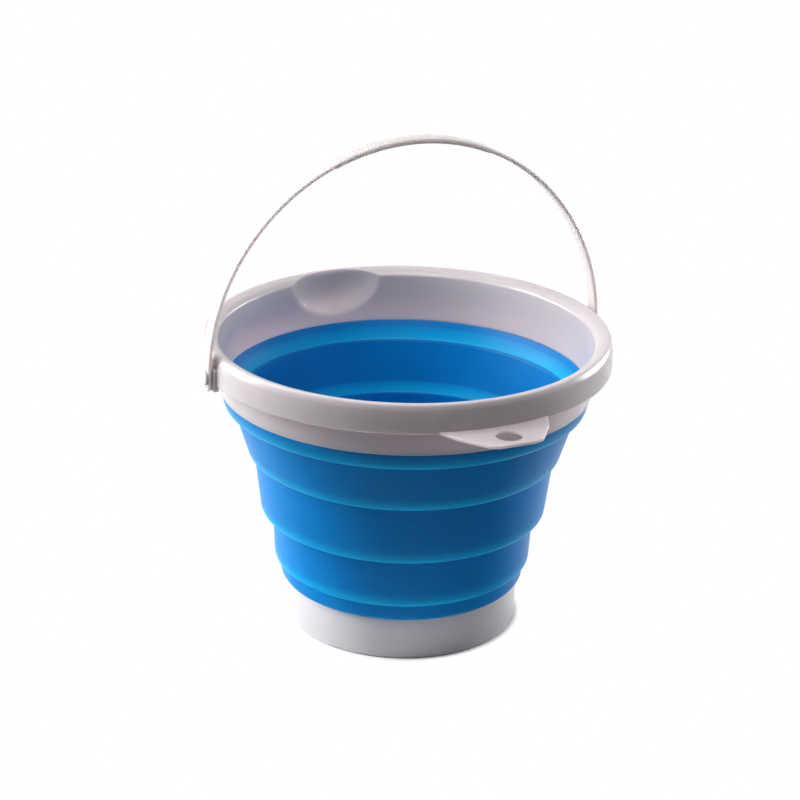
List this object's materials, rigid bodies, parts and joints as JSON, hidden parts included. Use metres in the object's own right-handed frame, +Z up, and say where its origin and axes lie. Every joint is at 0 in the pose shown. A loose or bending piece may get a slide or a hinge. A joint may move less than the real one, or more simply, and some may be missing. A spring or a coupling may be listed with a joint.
{
  "type": "collapsible camp bucket",
  "caption": "Round collapsible camp bucket with a stepped folding wall, plastic base and rim, pouring spout, hang tab and swinging handle.",
  "frame": {"origin": "centre of the base cup's flat underside, on the bucket's axis", "axes": "+Z up along the bucket's axis, +Y towards the pouring spout, -Y towards the hang tab, X along the handle's pivot line"},
  "size_m": [0.2728, 0.287, 0.3182],
  "materials": {
    "base_plastic": "satin moulded polypropylene, warm pale grey",
    "rim_plastic": "glossy moulded polypropylene, warm pale grey",
    "handle_plastic": "glossy moulded polypropylene, warm pale grey",
    "pin_plastic": "satin moulded plastic, grey",
    "wall_elastomer": "satin thermoplastic elastomer, clear blue"
  },
  "bodies": {
    "base": {"base_cup": "base_plastic", "wall_bottom_band": "wall_elastomer", "wall_lower_fold": "wall_elastomer"},
    "middle_ring": {"wall_middle_band": "wall_elastomer", "wall_upper_fold": "wall_elastomer"},
    "rim": {"wall_top_collar": "wall_elastomer", "rim_ring": "rim_plastic", "pivot_pin_left": "pin_plastic", "pivot_pin_right": "pin_plastic"},
    "handle": {"carry_handle": "handle_plastic"}
  },
  "joints": [
    {"name": "lower_fold", "type": "slide", "parent": "base", "child": "middle_ring", "axis": [0, 0, 1], "range_m": [-0.0668, 0], "deforming": ["wall_lower_fold"]},
    {"name": "upper_fold", "type": "slide", "parent": "middle_ring", "child": "rim", "axis": [0, 0, 1], "range_m": [-0.0662, 0], "deforming": ["wall_upper_fold"]},
    {"name": "handle_swing", "type": "hinge", "parent": "rim", "child": "handle", "pos_m": [0, 0, 0.18], "axis": [-1, 0, 0], "range_deg": [-88.5, 123]}
  ]
}
